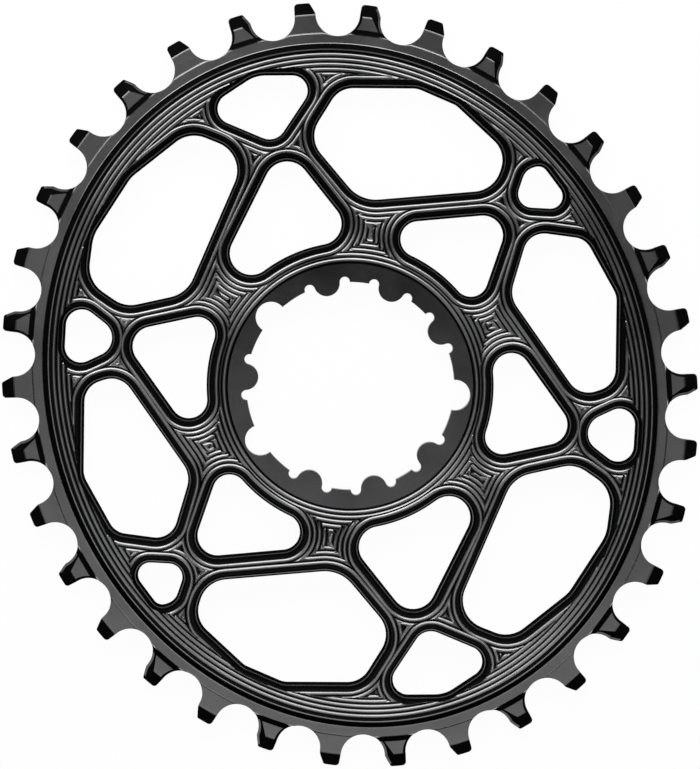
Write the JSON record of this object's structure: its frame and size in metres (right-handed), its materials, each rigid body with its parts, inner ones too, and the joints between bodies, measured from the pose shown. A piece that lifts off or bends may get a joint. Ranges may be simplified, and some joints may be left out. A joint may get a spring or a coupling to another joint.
{
  "type": "bicycle chainring",
  "caption": "Oval narrow-wide bicycle chainring with a splined direct-mount bore and a windowed, ridged web, machined from one plate.",
  "frame": {"origin": "on the bore axis, level with the back of the tooth band, on which the ring lies", "axes": "+Z along the bore axis, out of the front face; +Y along the long axis of the oval"},
  "size_m": [0.1346, 0.1508, 0.0058],
  "materials": {
    "black_aluminium": "black anodised, satin, with machined ridges"
  },
  "bodies": {
    "root": {"chainring": "black_aluminium"}
  },
  "joints": []
}
